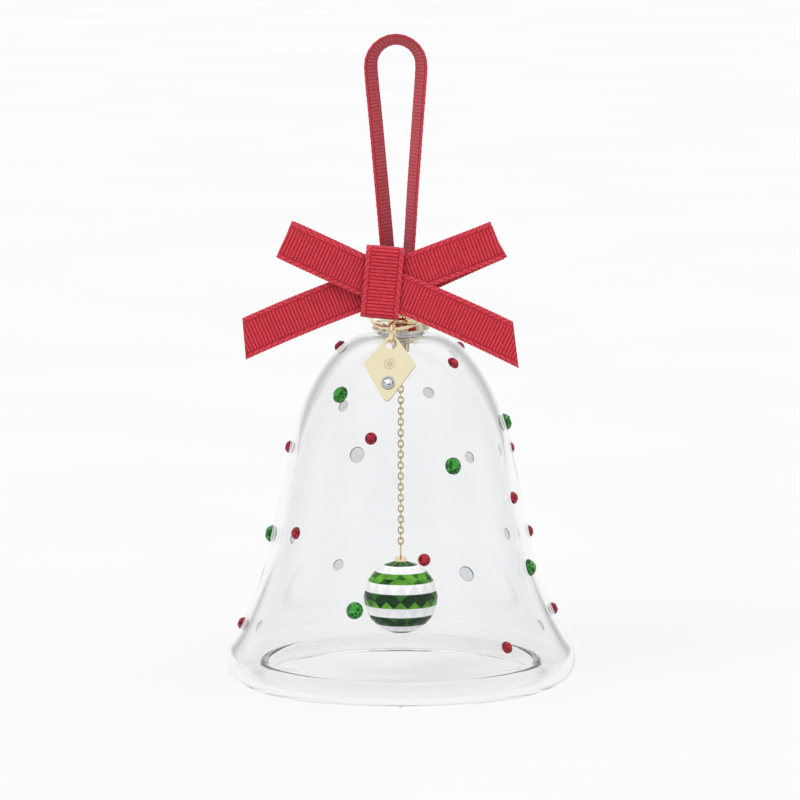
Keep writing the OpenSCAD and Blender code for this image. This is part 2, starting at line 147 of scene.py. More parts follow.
def ribbon_material():
    """Grosgrain: rounded ribs with fine grooves that turn round at the ribs' ends, a braided border
    and a little fibre. Its colour has painted light in it: a painted highlight along each rib's crown,
    painted shade in the grooves and painted shade between the braid's strands. The ribbon's own map
    counts ribs along it, and gives the distance from the nearer edge."""
    mat, nodes, links, bsdf = new_material("red_grosgrain")
    weave = nodes.new("ShaderNodeUVMap")
    weave.uv_map = "weave"
    split = nodes.new("ShaderNodeSeparateXYZ")
    links.new(weave.outputs[0], split.inputs[0])
    along, from_edge = split.outputs[0], split.outputs[1]
    u = math_node(nodes, links, "SUBTRACT", math_node(nodes, links, "FRACT", along), 0.5)
    past_end = math_node(nodes, links, "MULTIPLY_ADD", from_edge, -1 / RIB, (BORDER + RIB / 2) / RIB)
    v = math_node(nodes, links, "MAXIMUM", past_end, 0.0)
    squares = math_node(nodes, links, "ADD", math_node(nodes, links, "MULTIPLY", u, u),
                        math_node(nodes, links, "MULTIPLY", v, v))
    from_rib = math_node(nodes, links, "SQRT", squares)
    # Painted highlight along each rib's crown, painted shade in the grooves round it
    rib_highlight_and_shade = ramp_node(nodes, links, from_rib, [
        (0.0, (0.600, 0.056, 0.082)), (0.20, (0.530, 0.035, 0.055)), (0.34, (0.445, 0.022, 0.037)),
        (0.43, (0.310, 0.011, 0.020)), (0.53, (0.285, 0.010, 0.018)), (0.64, (0.495, 0.034, 0.052))])
    # Painted shade: dark lines between the braided border's strands
    advance = math_node(nodes, links, "MULTIPLY", along, 0.25)
    slant = math_node(nodes, links, "MULTIPLY_ADD", from_edge, 0.45, advance)
    wave = math_node(nodes, links, "SINE", math_node(nodes, links, "MULTIPLY", slant, 2 * math.pi))
    braid = math_node(nodes, links, "ABSOLUTE", wave)
    braid_colour_and_shade = ramp_node(nodes, links, braid, [
        (0.0, (0.330, 0.013, 0.023)), (0.22, (0.480, 0.026, 0.042)), (1.0, (0.590, 0.056, 0.082))])
    border_share = math_node(nodes, links, "MULTIPLY", from_edge, 1 / (2 * BORDER))
    on_edge = ramp_node(nodes, links, border_share, [(0.44, (1, 1, 1)), (0.46, (0, 0, 0))])
    weave_with_painted_light = mix_colour(nodes, links, on_edge, rib_highlight_and_shade, braid_colour_and_shade)
    fleck = noise_node(nodes, links, 1800.0, 2.0)
    fleck_colour = ramp_node(nodes, links, fleck, [(0.3, (0.72, 0.70, 0.70)), (0.7, (1.12, 1.12, 1.12))])
    links.new(mix_colour(nodes, links, 0.9, weave_with_painted_light, fleck_colour, "MULTIPLY"), bsdf.inputs["Base Color"])
    strands = math_node(nodes, links, "SINE", math_node(nodes, links, "MULTIPLY", from_edge, 38.0))
    grain = math_node(nodes, links, "MULTIPLY_ADD", strands, 0.3, fleck)
    bump_node(nodes, links, grain, 0.4, 0.00006, bsdf)
    links.new(math_node(nodes, links, "MULTIPLY_ADD", fleck, 0.2, 0.6), bsdf.inputs["Roughness"])
    bsdf.inputs["Specular IOR Level"].default_value = 0.12
    bsdf.inputs["Sheen Weight"].default_value = 0.40
    bsdf.inputs["Sheen Roughness"].default_value = 0.4
    bsdf.inputs["Sheen Tint"].default_value = (1.0, 0.55, 0.62, 1.0)
    return mat


def gold_material(name, light, deep, roughness, brushed=0.0):
    """Metal, polished or satin: slightly uneven in tone and gloss, with a stronger grain if brushed."""
    mat, nodes, links, bsdf = new_material(name)
    cloud = noise_node(nodes, links, 180.0)
    links.new(mix_colour(nodes, links, cloud, deep, light), bsdf.inputs["Base Color"])
    fine = noise_node(nodes, links, 4000.0, 2.0)
    gloss = math_node(nodes, links, "MULTIPLY_ADD", fine, 0.1, roughness - 0.05)
    links.new(gloss, bsdf.inputs["Roughness"])
    bsdf.inputs["Metallic"].default_value = 1.0
    bump_node(nodes, links, fine, 0.05 + brushed, 0.00002, bsdf)
    return mat


def glass_material():
    """Clear blown glass, with the faint waviness of a blown wall."""
    mat, nodes, links, bsdf = new_material("clear_glass")
    wave = noise_node(nodes, links, 45.0, 1.0)
    links.new(ramp_node(nodes, links, wave, [
        (0.2, (0.938, 0.941, 0.946)), (0.8, (0.950, 0.953, 0.957))]), bsdf.inputs["Base Color"])
    bsdf.inputs["Transmission Weight"].default_value = 1.0
    bsdf.inputs["Roughness"].default_value = 0.0
    bsdf.inputs["IOR"].default_value = 1.45
    bsdf.inputs["Specular Tint"].default_value = (0.4, 0.4, 0.4, 1.0)
    bump_node(nodes, links, wave, 0.12, 0.0006, bsdf)
    return mat


def cut_crystal_material(name, tone, specular=0.25, transmission=0.15):
    """One shade step of a cut crystal's colour, mottled with painted reflections of its facets in one
    another.
    """
    mat, nodes, links, bsdf = new_material(name)
    cloud = noise_node(nodes, links, 600.0)
    dark = tuple(0.65 * v for v in tone)
    light = tuple(1.30 * v for v in tone)
    links.new(ramp_node(nodes, links, cloud, [(0.35, dark), (0.65, light)]), bsdf.inputs["Base Color"])
    bsdf.inputs["Transmission Weight"].default_value = transmission
    bsdf.inputs["Specular IOR Level"].default_value = specular
    bsdf.inputs["Roughness"].default_value = 0.04
    bsdf.inputs["IOR"].default_value = 1.5
    return mat


def lit_and_shaded_crystal(name, tones, **finish):
    """Lit and shaded copies of one crystal colour, from painted shade for its girdle to a painted
    highlight for its table.
    """
    return [cut_crystal_material("%s_%d" % (name, i), tone, **finish) for i, tone in enumerate(tones)]


def foil_material():
    """The silvery foil on the back of a stone, a little crinkled."""
    mat, nodes, links, bsdf = new_material("foil_back")
    crinkle = noise_node(nodes, links, 1200.0)
    links.new(ramp_node(nodes, links, crinkle, [(0.3, (0.74, 0.75, 0.76)), (0.7, (0.83, 0.84, 0.85))]),
              bsdf.inputs["Base Color"])
    bsdf.inputs["Metallic"].default_value = 0.15
    bsdf.inputs["Roughness"].default_value = 0.45
    bump_node(nodes, links, crinkle, 0.3, 0.00005, bsdf)
    return mat


def rubber_material():
    mat, nodes, links, bsdf = new_material("clear_rubber")
    cloud = noise_node(nodes, links, 400.0)
    links.new(ramp_node(nodes, links, cloud, [(0.3, (0.80, 0.81, 0.82)), (0.7, (0.90, 0.91, 0.92))]),
              bsdf.inputs["Base Color"])
    bsdf.inputs["Roughness"].default_value = 0.4
    bsdf.inputs["Transmission Weight"].default_value = 0.6
    return mat


def white_band_material(number, tone):
    """The white bands painted on the ball, glossy and a little uneven. Two tones set its facets apart:
    the darker one is painted shade.
    """
    mat, nodes, links, bsdf = new_material("white_band_paint_%d" % number)
    cloud = noise_node(nodes, links, 700.0)
    dark = tuple(0.96 * v for v in tone)
    light = tuple(1.04 * v for v in tone)
    links.new(ramp_node(nodes, links, cloud, [(0.3, dark), (0.7, light)]), bsdf.inputs["Base Color"])
    bsdf.inputs["Roughness"].default_value = 0.15
    bsdf.inputs["Specular IOR Level"].default_value = 0.4
    return mat


RIBBON = ribbon_material()
GOLD = gold_material("gold_metal", (0.93, 0.80, 0.52), (0.80, 0.65, 0.38), 0.12)
TAG_GOLD = gold_material("tag_metal", (0.77, 0.70, 0.49), (0.73, 0.655, 0.445), 0.32, brushed=0.1)
CHAIN_GOLD = gold_material("chain_gold", (0.76, 0.64, 0.37), (0.46, 0.38, 0.19), 0.16)
MOTIF_GOLD = gold_material("engraved_gold", (0.48, 0.39, 0.20), (0.38, 0.30, 0.15), 0.4)
STEEL = gold_material("steel", (0.50, 0.50, 0.52), (0.34, 0.34, 0.37), 0.2, brushed=0.1)
PALE_GOLD = gold_material("pale_gold", (0.78, 0.71, 0.52), (0.46, 0.42, 0.29), 0.08)
GLASS = glass_material()
# Each crystal colour in three steps, from painted shade to painted highlight
GREEN_CRYSTAL = lit_and_shaded_crystal("green_crystal", [
    (0.004, 0.045, 0.007), (0.012, 0.135, 0.016), (0.045, 0.290, 0.038)], specular=0.18)
RED_CRYSTAL = lit_and_shaded_crystal("red_crystal", [
    (0.060, 0.001, 0.004), (0.205, 0.004, 0.012), (0.410, 0.020, 0.036)], specular=0.18)
CLEAR_CRYSTAL = lit_and_shaded_crystal("clear_crystal", [
    (0.10, 0.10, 0.11), (0.38, 0.39, 0.42), (0.88, 0.90, 0.94)], specular=0.6)
FOIL = foil_material()
RUBBER = rubber_material()
# The ball's green in three steps, from painted shade to painted highlight
BALL_GREEN_SHADES = lit_and_shaded_crystal("green_ball_crystal", [
    (0.002, 0.026, 0.004), (0.014, 0.110, 0.008), (0.085, 0.290, 0.020)],
    specular=0.08, transmission=0.05)
# The ball's white paint twice over: the darker copy is painted shade that sets facets apart
BALL_WHITE_SHADES = [white_band_material(0, (0.78, 0.79, 0.79)), white_band_material(1, (0.70, 0.70, 0.72))]


# ---- Mesh helpers --------------------------------------------------------------------------------

def add_piece(name, points, faces, materials, smooth=True, face_slots=None):
    """A mesh object from points in millimetres."""
    mesh = bpy.data.meshes.new(name)
    places = np.asarray(points, dtype=float) * MM
    mesh.from_pydata([tuple(p) for p in places], [], [tuple(f) for f in faces])
    for mat in materials:
        mesh.materials.append(mat)
    mesh.validate()
    if face_slots is not None:
        mesh.polygons.foreach_set("material_index", face_slots)
    bm = bmesh.new()
    bm.from_mesh(mesh)
    bmesh.ops.recalc_face_normals(bm, faces=bm.faces)
    bm.to_mesh(mesh)
    bm.free()
    if smooth:
        mesh.shade_smooth()
    piece = bpy.data.objects.new(name, mesh)
    bpy.context.collection.objects.link(piece)
    return piece


def smooth_path(points, step=0.25):
    """A Catmull-Rom curve through given points, sampled finely. Extra columns ride along."""
    p = np.asarray(points, dtype=float)
    p = np.vstack([2 * p[0] - p[1], p, 2 * p[-1] - p[-2]])
    out = []
    for a, b, c, d in zip(p, p[1:], p[2:], p[3:]):
        count = max(2, int(np.linalg.norm((c - b)[:3]) / step))
        for t in np.arange(count) / count:
            out.append(0.5 * (2 * b + (c - a) * t + (2 * a - 5 * b + 4 * c - d) * t ** 2
                              + (3 * b - a - 3 * c + d) * t ** 3))
    out.append(p[-2])
    return np.array(out)


def unit_rows(v):
    return v / np.linalg.norm(v, axis=1, keepdims=True)


def resample(columns, step):
    """Rows evenly spaced along the path in the first three columns."""
    gaps = np.linalg.norm(np.diff(columns[:, :3], axis=0), axis=1)
    place = np.concatenate([[0], np.cumsum(gaps)])
    count = max(3, int(place[-1] / step) + 1)
    at = np.linspace(0, place[-1], count)
    return at, np.column_stack([np.interp(at, place, columns[:, i]) for i in range(columns.shape[1])])


# ---- Ribbon --------------------------------------------------------------------------------------

RIBBON_WIDTH = 10.0
ROWS_PER_RIB = 8
HALF_THICKNESS = 0.12         # between the ribs
BORDER_THICKNESS = 0.072      # the same, in the border
RIB_HEIGHT = 0.15
CORD_HEIGHT = 0.17
BRAID_DEPTH = 0.28            # how far the braiding goes up and down, as a share of the border's height
SCALLOP = 0.06                # how far the edge steps in and out with the ribs
EDGE_SHARE = 0.95             # what lies further out than this share of half the width is the edge


def across_samples(width):
    """Distances from the ribbon's middle, close together where the ribs end and over the border."""
    rib_end = width / 2 - BORDER
    inner = np.linspace(0, max(rib_end - RIB / 2, 0.2), 5)
    turn = rib_end - RIB / 2 * (1 - np.array([0.35, 0.6, 0.8, 0.92, 1.0]))
    cord = rib_end + BORDER * (1 - np.cos(np.linspace(0.25, 1, 9) * math.pi)) / 2
    side = np.concatenate([inner, turn[turn > inner[-1] + 0.02], cord])
    return np.concatenate([-side[:0:-1], side])


def half_thickness(along, across, width):
    """Round-ended ribs across the middle and a braided cord along each edge, both as real relief."""
    from_edge = width / 2 - np.abs(across)
    u = along / RIB % 1.0 - 0.5
    v = np.maximum((BORDER + RIB / 2 - from_edge) / RIB, 0)
    rib = HALF_THICKNESS + RIB_HEIGHT * np.sqrt(np.clip(1 - 4 * (u * u + v * v), 0, 1)) ** 0.8
    round_cord = np.sqrt(np.clip(1 - (2 * from_edge / BORDER - 1) ** 2, 0, 1))
    slant = 0.5 * along / RIB + 0.9 * from_edge
    braid = 1 - BRAID_DEPTH + BRAID_DEPTH * np.cos(2 * math.pi * slant)
    cord = BORDER_THICKNESS + CORD_HEIGHT * round_cord * braid
    return np.where(from_edge < BORDER, cord, rib)


def ribbon_strip(name, columns, body, node, cuts=()):
    """A ribbon along a path. The columns are x, y, z, then the direction across it, then its width.
    Each cut is a point and a direction: what lies past the point that way is cut off."""
    along, rows = resample(columns, RIB / ROWS_PER_RIB)
    centre = rows[:, :3]
    forward = unit_rows(np.gradient(centre, axis=0))
    normal = unit_rows(np.cross(rows[:, 3:6], forward))
    across = np.cross(forward, normal)
    width = rows[:, 6]
    share = across_samples(width.max()) / (width.max() / 2)
    offsets = share[None, :] * width[:, None] / 2
    scallop = SCALLOP * np.cos(2 * math.pi * along / RIB)[:, None] * np.sign(offsets)
    scallop = scallop * (np.abs(share) > EDGE_SHARE)
    height = half_thickness(along[:, None], offsets, width[:, None])
    flat = centre[:, None, :] + across[:, None, :] * (offsets + scallop)[:, :, None]
    lift = normal[:, None, :] * height[:, :, None]
    ring = np.concatenate([flat + lift, (flat - lift)[:, ::-1]], axis=1)
    n, m = ring.shape[:2]
    faces = [(i * m + j, i * m + (j + 1) % m, (i + 1) * m + (j + 1) % m, (i + 1) * m + j)
             for i in range(n - 1) for j in range(m)]
    faces += [tuple(range(m - 1, -1, -1)), tuple(range((n - 1) * m, n * m))]
    piece = add_piece(name, ring.reshape(-1, 3), faces, [RIBBON])
    mesh = piece.data
    from_edge = width[:, None] / 2 - np.abs(np.concatenate([offsets, offsets[:, ::-1]], axis=1))
    counts = np.column_stack([np.repeat(along / RIB, m), from_edge.ravel()])
    corners = np.empty(len(mesh.loops), dtype=np.int32)
    mesh.loops.foreach_get("vertex_index", corners)
    mesh.uv_layers.new(name="weave").data.foreach_set("uv", counts[corners].ravel())
    for place, direction in cuts:
        cut_off(mesh, Vector(place) * MM, Vector(direction))
    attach(piece, body)
    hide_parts(node)
    return piece


def cut_off(mesh, place, direction):
    """A straight scissor cut, closed again at the cut."""
    bm = bmesh.new()
    bm.from_mesh(mesh)
    everything = bm.verts[:] + bm.edges[:] + bm.faces[:]
    cut = bmesh.ops.bisect_plane(bm, geom=everything, plane_co=place, plane_no=direction,
                                 clear_outer=True)
    edges = [e for e in cut["geom_cut"] if isinstance(e, bmesh.types.BMEdge)]
    bmesh.ops.contextual_create(bm, geom=edges)
    bm.to_mesh(mesh)
    bm.free()


# The middle of the hanging ribbon: from the tie up the left strand, over the top and down the right one
RIBBON_ROUTE = (
    (-2.7, -3.6, 104), (-3.2, -3.5, 109), (-3.8, -3.3, 116), (-4.7, -3, 126), (-5.6, -2.7, 136),
    (-6.5, -2.5, 146), (-7.3, -2.3, 154), (-7.6, -2.2, 158.5), (-7.1, -2.2, 161), (-5.7, -2.2, 163.1),
    (-3.6, -2.2, 164.5), (-1.2, -2.2, 165), (1.2, -2.2, 164.5), (3.3, -2.2, 163.1), (4.7, -2.2, 161),
    (5.2, -2.2, 158.5), (5, -2.3, 154), (4.4, -2.5, 146), (3.7, -2.7, 136), (3, -3, 126),
    (2.4, -3.3, 116), (1.9, -3.5, 109), (1.6, -3.6, 104))

# How far the front edge leans out from the back edge at the ribbon's two ends, in degrees
SPREAD_LEFT, SPREAD_RIGHT = 20.0, 15.0

# The gathered loop that goes through the bail, with the width at each point
BAIL_LOOP_ROUTE = (
    (-2.65, -3.6, 103.9, 8), (-2.4, -2.9, 102.4, 6.4), (-2.1, -1.7, 101, 4.4), (-1.8, -0.5, 99.9, 3),
    (-1.2, 0.1, 99.2, 2.6), (-0.5, 0.2, 99, 2.6), (0.5, 0.2, 99, 2.6), (1.2, 0.1, 99.2, 2.6),
    (1.6, -0.5, 99.9, 3), (1.75, -1.7, 101, 4.4), (1.7, -2.9, 102.4, 6.4), (1.6, -3.6, 103.9, 8))

TIE_INSET = 0.25              # from the CAD band's outside to the middle of the ribbon's thickness
TIE_CORNER = 0.6


def strap_columns(route, widths, spreads):
    """Columns for a strap whose width runs front to back, its front edge leaning outwards."""
    path = smooth_path(np.column_stack([route, widths, spreads]))
    forward = np.gradient(path[:, :3], axis=0)
    forward[:, 1] = 0
    forward = unit_rows(forward)
    out = np.column_stack([-forward[:, 2], 0 * forward[:, 0], forward[:, 0]])
    lean = np.radians(path[:, 4])[:, None]
    across = out * np.sin(lean) - np.array([[0, 1, 0]]) * np.cos(lean)
    return np.column_stack([path[:, :3], across, path[:, 3]])


def hanging_ribbon():
    count = len(RIBBON_ROUTE)
    spreads = np.linspace(SPREAD_LEFT, SPREAD_RIGHT, count)
    columns = strap_columns(RIBBON_ROUTE, np.full(count, RIBBON_WIDTH), spreads)
    piece = ribbon_strip("hanging_ribbon_strap", columns, "ribbon", "hanging_ribbon")


def bail_ribbon():
    route = np.array(BAIL_LOOP_ROUTE, dtype=float)
    columns = strap_columns(route[:, :3], route[:, 3], np.zeros(len(route)))
    ribbon_strip("bail_ribbon_strap", columns, "ribbon", "bail_ribbon_loop")


def closed_band(corners, radius, steps=6):
    """A rounded rectangle as a closed run of 2-D points, starting and ending mid-way along one side."""
    (a, b), (c, d) = corners
    points = [((a + c) / 2, b)]
    for x, y, start in ((c - radius, b + radius, -90), (c - radius, d - radius, 0),
                        (a + radius, d - radius, 90), (a + radius, b + radius, 180)):
        for i in range(steps + 1):
            turn = math.radians(start + 90 * i / steps)
            points.append((x + radius * math.cos(turn), y + radius * math.sin(turn)))
    points.append(points[0])
    return np.array(points)


def ribbon_tie():
    """The narrow band round both strands, behind the knot."""
    low, high = (Vector(v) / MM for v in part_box("ribbon_tie"))
    band = closed_band(((low.x + TIE_INSET, low.y + TIE_INSET), (high.x - TIE_INSET, high.y - TIE_INSET)),
                       TIE_CORNER)
    n = len(band)
    columns = np.column_stack([band, np.full(n, (low.z + high.z) / 2), np.tile([0.0, 0.0, 1.0], (n, 1)),
                               np.full(n, high.z - low.z)])
    ribbon_strip("ribbon_tie_band", columns, "ribbon", "ribbon_tie")


# ---- Bow -----------------------------------------------------------------------------------------

KNOT_MIDDLE = np.array([-4.65, -12.2, 104.1])
KNOT_SIZE = (4.8, 18.5)       # depth and height
KNOT_WIDTH = 9.6
KNOT_LEAN = 5.2               # degrees to the right at its top
KNOT_BULGE = 0.5              # how far its front swells out
KNOT_INSET = 0.3              # from its faces to the middle of the ribbon's thickness
KNOT_CORNER = 1.3

LOOP_SAMPLES = 60
LOOP_PINCH = 0.55             # half the space between a loop's layers where the knot squeezes them
LOOP_SWELL = 0.55             # share of its length over which the layers part
LOOP_FOLD = 9                 # the higher, the later and the tighter its end folds round

TAIL_SAMPLES = 60
TAIL_ARCH = 0.5               # how far a tail's middle rises over a straight line
TAIL_CURL = 1.6               # the higher, the later it curves forwards


def bow_knot():
    depth, height = KNOT_SIZE
    corner = np.array([depth, height]) / 2 - KNOT_INSET
    band = closed_band((-corner, corner), KNOT_CORNER)
    swell = KNOT_BULGE * np.cos(math.pi * band[:, 1] / height) * (band[:, 0] < 0)
    lean = math.radians(KNOT_LEAN)
    along_x = np.array([math.cos(lean), 0, -math.sin(lean)])
    up = np.array([math.sin(lean), 0, math.cos(lean)])
    points = KNOT_MIDDLE + np.outer(band[:, 0] - swell, [0, 1, 0]) + np.outer(band[:, 1], up)
    n = len(points)
    columns = np.column_stack([points, np.tile(along_x, (n, 1)), np.full(n, KNOT_WIDTH)])
    piece = ribbon_strip("bow_knot_band", columns, "ribbon", "bow_knot")


def bow_loop(name, node, root_x, y, front, back, length, bulge):
    """A loop: out along the front layer, round a soft fold, and back. Front and back are (height of the
    layer's middle at the root, angle above +X)."""
    rows = []
    for layer, (root_z, angle) in ((0, front), (1, back)):
        turn = math.radians(angle)
        share = np.linspace(0, 1, LOOP_SAMPLES) if layer == 0 else np.linspace(1, 0, LOOP_SAMPLES)[1:]
        parted = np.sin(np.pi / 2 * np.minimum(1, share / LOOP_SWELL))
        depth = LOOP_PINCH + (bulge - LOOP_PINCH) * parted
        depth = depth * np.sqrt(np.clip(1 - share ** LOOP_FOLD, 0, 1))
        side = -1 if layer == 0 else 1
        for s, d in zip(share, depth):
            blend = s ** 3 / 2 if layer == 0 else 1 - s ** 3 / 2
            angle_here = math.radians(front[1] + (back[1] - front[1]) * blend)
            height = root_z + s * length * math.sin(turn)
            rows.append((root_x + s * length * math.cos(turn), y + side * d, height,
                         -math.sin(angle_here), 0, math.cos(angle_here), RIBBON_WIDTH))
    columns = np.array(rows)
    piece = ribbon_strip(name, columns, "ribbon", node)


def bow_tail(name, node, start, end, y_start, y_end, cut_from, cut_to):
    """A tail: a strip that curves a little forwards, cut off along a slanting line at its end."""
    share = np.linspace(0, 1, TAIL_SAMPLES)
    x = start[0] + (end[0] - start[0]) * share
    z = start[1] + (end[1] - start[1]) * share + TAIL_ARCH * np.sin(math.pi * share)
    y = y_start + (y_end - y_start) * share ** TAIL_CURL
    along = unit_rows(np.column_stack([np.gradient(x), 0 * x, np.gradient(z)]))
    across = np.column_stack([-along[:, 2], 0 * x, along[:, 0]])
    columns = np.column_stack([x, y, z, across, np.full(len(x), RIBBON_WIDTH)])
    outwards = np.array([-(cut_to[1] - cut_from[1]), cut_to[0] - cut_from[0]])
    if outwards[0] * (end[0] - start[0]) < 0:
        outwards = -outwards
    piece = ribbon_strip(name, columns, "ribbon", node,
                         cuts=[((cut_from[0], 0, cut_from[1]), (outwards[0], 0, outwards[1]))])


def make_ribbons():
    hanging_ribbon()
    bail_ribbon()
    ribbon_tie()
    bow_knot()
    bow_loop("bow_left_loop", "bow_loop_left", root_x=-7.4, y=-12.4, front=(104.9, 155.2),
             back=(104.9, 155.0), length=24.1, bulge=1.6)
    bow_loop("bow_right_loop", "bow_loop_right", root_x=-2.9, y=-11.8, front=(104.45, 20.9),
             back=(102.3, 24.3), length=29.1, bulge=1.6)
    bow_tail("bow_left_tail", "bow_tail_left", start=(-6, 103.2), end=(-44, 87.8),
             y_start=-10.65, y_end=-12.6, cut_from=(-40.1, 94.5), cut_to=(-39.25, 84.4))
    bow_tail("bow_right_tail", "bow_tail_right", start=(-4.4, 103.25), end=(34, 86.05),
             y_start=-13.5, y_end=-15.0, cut_from=(28.4, 94.05), cut_to=(29.85, 82.35))


# ---- Glass ---------------------------------------------------------------------------------------

GLASS_TOP = 90.6
WALL = 2.2
HOLE = 1.6                    # radius of the hole for the post
NECK = (6, GLASS_TOP)         # radius and height of the points where the wall's curves start and join
SHOULDER = (28, 62.4)
WAIST = (33.7, 35.4)
ROLL_RADIUS = 39.0            # from the bell's axis to the middle of the rolled rim
ROLL = 6.0                    # radius of the roll's outer half, and of its half inside the mouth
INNER_ROLL = 5.0
RIM_FLAT = 0.06               # depth of the flat that the bell stands on
RIM_MIDDLE = np.array([ROLL_RADIUS, ROLL - RIM_FLAT])
INNER_MIDDLE = np.array([ROLL_RADIUS, INNER_ROLL - RIM_FLAT])
ROLL_START, ROLL_END = 35.0, -175.0       # degrees above straight outwards, round the roll's middle
OUTER_END, INNER_START = -85.0, -96.0     # where the roll's two halves stop, both in the flat
FLARE_GAP = 4.0               # degrees from the foot of the flare to the first point of the roll
FLARE_PULL = 6                # length of the flare curve's handle where it runs into the roll
LIP_GAP = 15.0                # degrees from the roll's end to the lip's first point
CURVE_STEPS = 26
GLASS_TURNS = 160


def polar(angle):
    return np.array([math.cos(math.radians(angle)), math.sin(math.radians(angle))])


def arc_points(middle, radius, start, end, steps):
    return [middle + radius * polar(a) for a in np.linspace(start, end, steps + 1)]


def bezier_with_wall(p, steps):
    """Points on a cubic curve, and the same points moved in by the wall's thickness."""
    outer, inner = [], []
    p = [np.array(q, dtype=float) for q in p]
    for t in np.linspace(0, 1, steps + 1):
        s = 1 - t
        here = s ** 3 * p[0] + 3 * t * s ** 2 * p[1] + 3 * t * t * s * p[2] + t ** 3 * p[3]
        slope = s ** 2 * (p[1] - p[0]) + 2 * t * s * (p[2] - p[1]) + t * t * (p[3] - p[2])
        slope = slope / np.linalg.norm(slope)
        outer.append(here)
        inner.append(here + WALL * np.array([slope[1], -slope[0]]))
    return outer, inner


def glass_profile():
    """The wall's closed outline, as radius and height: down its outside, round the roll and the lip
    inside the mouth, and up its inside."""
    flare_foot = RIM_MIDDLE + ROLL * polar(ROLL_START)
    down_flare = polar(ROLL_START - 90)
    curves = [[NECK, (17, GLASS_TOP + 0.1), (25, 75), SHOULDER],
              [SHOULDER, (29.9, 54.4), (32, 44), WAIST],
              [WAIST, (35.5, 26.6), flare_foot - FLARE_PULL * down_flare, flare_foot]]
    outer, inner = [], []
    for i, curve in enumerate(curves):
        a, b = bezier_with_wall(curve, CURVE_STEPS)
        outer += a if i == 0 else a[1:]
        inner += b if i == 0 else b[1:]
    profile = [np.array([HOLE, GLASS_TOP])] + outer
    profile += arc_points(RIM_MIDDLE, ROLL, ROLL_START - FLARE_GAP, OUTER_END, 30)
    profile += arc_points(INNER_MIDDLE, INNER_ROLL, INNER_START, ROLL_END, 20)
    lip = INNER_MIDDLE + (INNER_ROLL - WALL / 2) * polar(ROLL_END)
    profile += arc_points(lip, WALL / 2, ROLL_END - LIP_GAP, ROLL_END - 180 + LIP_GAP, 10)
    profile += arc_points(INNER_MIDDLE, INNER_ROLL - WALL, ROLL_END, INNER_START, 20)
    profile += arc_points(RIM_MIDDLE, ROLL - WALL, OUTER_END, ROLL_START - FLARE_GAP, 26)
    profile += inner[::-1]
    profile += [np.array([HOLE, GLASS_TOP - WALL])]
    return np.array([(r, max(z, 0.0)) for r, z in profile])


def lathe(profile, turns):
    """A closed outline of (radius, height), spun about Z."""
    angles = np.arange(turns) * 2 * math.pi / turns
    points = np.array([(r * math.cos(a), r * math.sin(a), z) for a in angles for r, z in profile])
    n = len(profile)
    faces = []
    for i in range(turns):
        here, there = i * n, (i + 1) % turns * n
        faces += [(here + j, there + j, there + (j + 1) % n, here + (j + 1) % n) for j in range(n)]
    return points, faces


def glass_bell():
    points, faces = lathe(glass_profile(), GLASS_TURNS)
    piece = add_piece("blown_glass_bell", points, faces, [GLASS])
    # Clear glass lets the light through to what is inside and under it
    piece.visible_shadow = False
    piece.visible_diffuse = False
    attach(piece, "bell")
    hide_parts("glass_bell")


# ---- Islands of a CAD node -----------------------------------------------------------------------

def islands(node):
    """The separate solids of a CAD node, each as its points in millimetres."""
    bm = bmesh.new()
    bm.from_mesh(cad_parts[node].data)
    bmesh.ops.remove_doubles(bm, verts=bm.verts, dist=1e-6)
    left, found = set(bm.verts), []
    while left:
        first = left.pop()
        group, stack = [first], [first]
        while stack:
            for edge in stack.pop().link_edges:
                for other in edge.verts:
                    if other in left:
                        left.discard(other)
                        group.append(other)
                        stack.append(other)
        found.append(np.array([v.co for v in group]) / MM)
    bm.free()
    return sorted(found, key=lambda p: (round(p[:, 2].mean(), 2), round(p[:, 0].mean(), 2)))


# ---- Crystals ------------------------------------------------------------------------------------

# Shares of a stone's diameter: its girdle's height, the rings above it, and its foil's radius
GIRDLE_HEIGHT = 0.07
CROWN_RADIUS, CROWN_HEIGHT = 0.385, 0.235
TABLE_RADIUS, TABLE_HEIGHT = 0.235, 0.34
FOIL_RADIUS = 0.47

FOIL_THICKNESS = 0.06
FLAT_FACET, STEEP_FACET = 0.98, 0.35      # how far a facet's outward direction points up its stone
# Which shade step the crown's facets take by turns: painted light that sets them apart
CROWN_SHADING = (1, 2, 0, 1, 2)
STONE_TURN = 1.1              # radians that each stone is turned on from the one before


def ring_points(radius, height, count, start=0.0):
    turn = 2 * math.pi / count
    angles = [start + i * turn for i in range(count)]
    return [(radius * math.cos(a), radius * math.sin(a), height) for a in angles]


def gem_facet_shading(vertices, faces):
    """Which shade step each facet of a gem takes, as painted light: painted shade on the girdle, crown
    facets lit by turns, and a painted highlight on the table.
    """
    tones = []
    for number, face in enumerate(faces):
        a, b, c = (vertices[i] for i in face[:3])
        normal = np.cross(b - a, c - a)
        rise = abs(normal[2]) / np.linalg.norm(normal)
        if rise > FLAT_FACET:
            tones.append(2)
        elif rise < STEEP_FACET:
            tones.append(0)
        else:
            tones.append(CROWN_SHADING[number % len(CROWN_SHADING)])
    return tones


def gem_shape(d):
    """A flat-backed cut stone of diameter d: girdle, two tiers of facets and a table."""
    points = ring_points(0.5 * d, 0.0, 16)
    points += ring_points(0.5 * d, GIRDLE_HEIGHT * d, 16)
    points += ring_points(CROWN_RADIUS * d, CROWN_HEIGHT * d, 8, math.pi / 8)
    points += ring_points(TABLE_RADIUS * d, TABLE_HEIGHT * d, 8)
    bm = bmesh.new()
    for p in points:
        bm.verts.new(p)
    bmesh.ops.convex_hull(bm, input=bm.verts)
    bm.verts.index_update()
    vertices = np.array([v.co for v in bm.verts])
    faces = [tuple(v.index for v in f.verts) for f in bm.faces]
    bm.free()
    return vertices, faces


